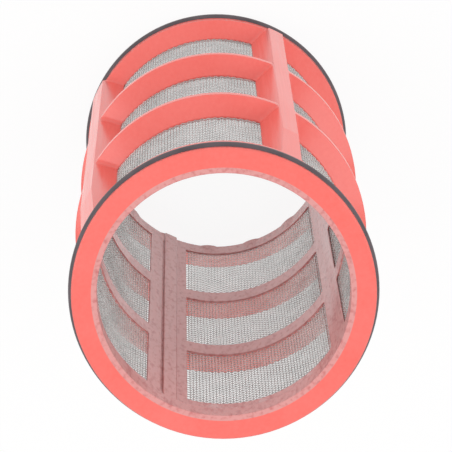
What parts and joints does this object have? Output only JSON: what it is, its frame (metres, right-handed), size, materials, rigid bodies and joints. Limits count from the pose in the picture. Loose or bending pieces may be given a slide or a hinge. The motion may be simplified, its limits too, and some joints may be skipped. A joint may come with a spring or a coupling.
{
  "type": "suction filter",
  "caption": "Open tube of woven wire mesh in a moulded cage of ribs and tapered fins, with a seal ring round each end; strains fluid on its way to a pump",
  "frame": {"origin": "middle of the filter's footprint, on the plane of its bottom end face", "axes": "+Z is the filter's axis and points up, to the end with the lip in its mouth; the windows face +X, +Y, -X and -Y, and the rib that carries the seam of the mesh is halfway between +X and +Y"},
  "size_m": [0.0719, 0.0718, 0.14],
  "materials": {
    "cage_plastic": "moulded red plastic, satin",
    "wire_cloth": "plain woven stainless wire",
    "seal_rubber": "black rubber, slightly greasy"
  },
  "bodies": {
    "root": {"cage": "cage_plastic", "screen": "wire_cloth", "bottom_seal": "seal_rubber", "top_seal": "seal_rubber"}
  },
  "joints": []
}
